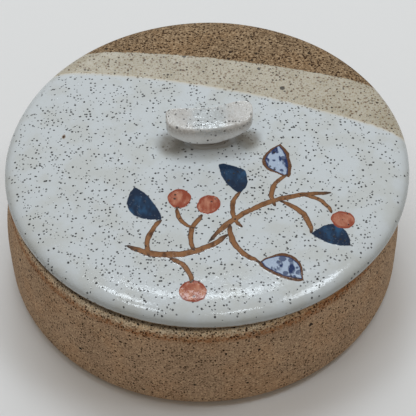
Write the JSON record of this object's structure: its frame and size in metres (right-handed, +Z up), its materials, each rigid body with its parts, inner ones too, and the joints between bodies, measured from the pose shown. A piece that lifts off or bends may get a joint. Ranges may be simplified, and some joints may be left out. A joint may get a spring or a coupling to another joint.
{
  "type": "lidded trinket bowl",
  "caption": "Shallow round stoneware trinket bowl with a flat overlapping lid, glazed on top in sloping bands, with a dished lug handle.",
  "frame": {"origin": "on the table, under the middle of the bowl", "axes": "+Z up along the bowl's turning axis; +X to the right and +Y to the back as the lid lies in the picture, with the lug's long side along X and the bare band of the lid at +Y"},
  "size_m": [0.1471, 0.1468, 0.0662],
  "materials": {
    "bare_stoneware": "matte",
    "lid_glaze": "gloss",
    "ring_stoneware": "matte",
    "lug_glaze": "gloss"
  },
  "bodies": {
    "bowl": {"bowl": "bare_stoneware"},
    "lid_ring": {"lid_locating_ring": "ring_stoneware"},
    "lid": {"lid_disc": "lid_glaze", "lid_handle": "lug_glaze"}
  },
  "joints": [
    {"name": "lid_lift", "type": "slide", "parent": "bowl", "child": "lid_ring", "axis": [0, 0, 1], "range_m": [0, 0.08]},
    {"name": "lid_turn", "type": "hinge", "parent": "lid_ring", "child": "lid", "pos_m": [0.00191, 0.0016, 0.044], "axis": [0, 0, 1], "continuous": true}
  ]
}
